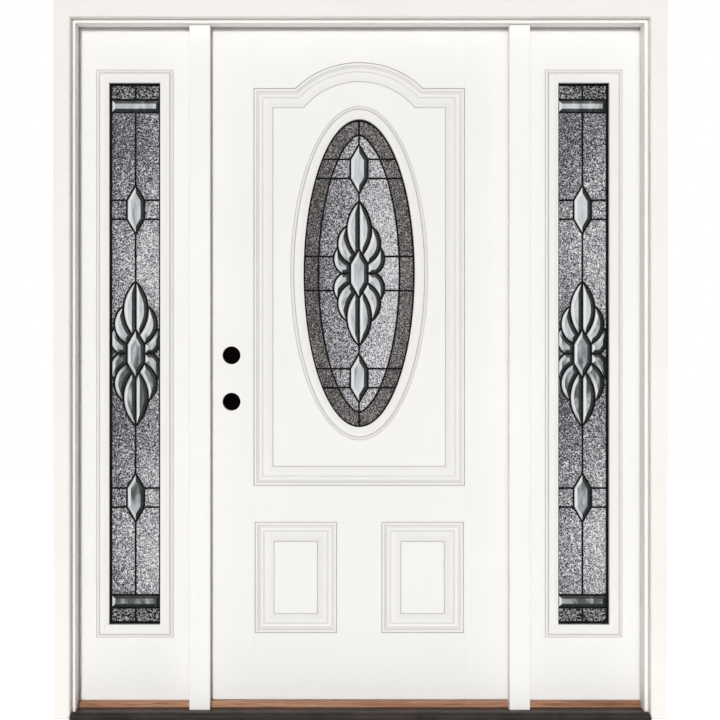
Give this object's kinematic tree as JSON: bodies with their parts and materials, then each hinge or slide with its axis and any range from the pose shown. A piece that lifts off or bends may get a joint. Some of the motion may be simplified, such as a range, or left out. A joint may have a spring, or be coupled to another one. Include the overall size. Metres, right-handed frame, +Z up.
{
  "type": "fiberglass entry door unit",
  "caption": "White fiberglass entry door with an arched panel and leaded oval glass, hung in a frame with leaded sidelites, brickmould and a dark sill with oak cap.",
  "frame": {"origin": "underside of the sill, on the middle of the unit's width, in the plane of the jambs' outside edges", "axes": "+Z up, -Y towards the outside, +X to the right seen from outside"},
  "size_m": [1.8086, 0.1754, 2.1173],
  "materials": {
    "white_fiberglass": "satin smooth moulded skin",
    "white_paint": "satin white paint",
    "ivory_paint": "satin ivory-white paint",
    "bare_pine": "planed",
    "foam": "cellular",
    "bronze_metal": "dark bronze anodised",
    "composite": "moulded",
    "oak": "clear varnish",
    "black_foam": "matt",
    "clear_glass": "polished",
    "spacer_metal": "mill",
    "black_came": "black patina",
    "field_glass": "granular texture",
    "border_glass": "coarse granular texture",
    "bevel_glass": "polished bevels",
    "hinge_steel": "satin nickel"
  },
  "bodies": {
    "frame": {"left_jamb": "white_paint", "right_jamb": "white_paint", "head_jamb": "white_paint", "strike_mullion": "ivory_paint", "hinge_mullion": "ivory_paint", "left_brickmould": "white_paint", "right_brickmould": "white_paint", "head_brickmould": "white_paint", "sill_deck": "bronze_metal", "sill_base": "composite", "door_cap": "oak", "left_sidelite_cap": "oak", "right_sidelite_cap": "oak", "door_weatherstrips": "black_foam", "sidelite_gaskets": "black_foam", "frame_hinge_leaves": "hinge_steel", "hinge_pins": "hinge_steel", "left_sidelite_skins": "white_fiberglass", "left_sidelite_core": "foam", "left_sidelite_trims": "white_fiberglass", "left_sidelite_panes": "clear_glass", "left_sidelite_spacer": "spacer_metal", "left_sidelite_caming": "black_came", "left_sidelite_glass": "field_glass", "left_sidelite_bevels": "bevel_glass", "right_sidelite_skins": "white_fiberglass", "right_sidelite_core": "foam", "right_sidelite_trims": "white_fiberglass", "right_sidelite_panes": "clear_glass", "right_sidelite_spacer": "spacer_metal", "right_sidelite_caming": "black_came", "right_sidelite_glass": "field_glass", "right_sidelite_bevels": "bevel_glass"},
    "door": {"door_exterior_skin": "white_fiberglass", "door_interior_skin": "white_fiberglass", "lock_stile": "bare_pine", "hinge_stile": "bare_pine", "top_rail": "bare_pine", "bottom_rail": "composite", "lock_block": "bare_pine", "door_core": "foam", "oval_trims": "white_fiberglass", "oval_panes": "clear_glass", "oval_spacer": "spacer_metal", "oval_caming": "black_came", "oval_field_glass": "field_glass", "oval_border_glass": "border_glass", "oval_bevels": "bevel_glass", "door_hinge_leaves": "hinge_steel", "door_sweep": "black_foam"}
  },
  "joints": [
    {"name": "door_swing", "type": "hinge", "parent": "frame", "child": "door", "pos_m": [0.4566, 0.12395, 1.053], "axis": [0, 0, -1], "range_deg": [0, 170]}
  ]
}
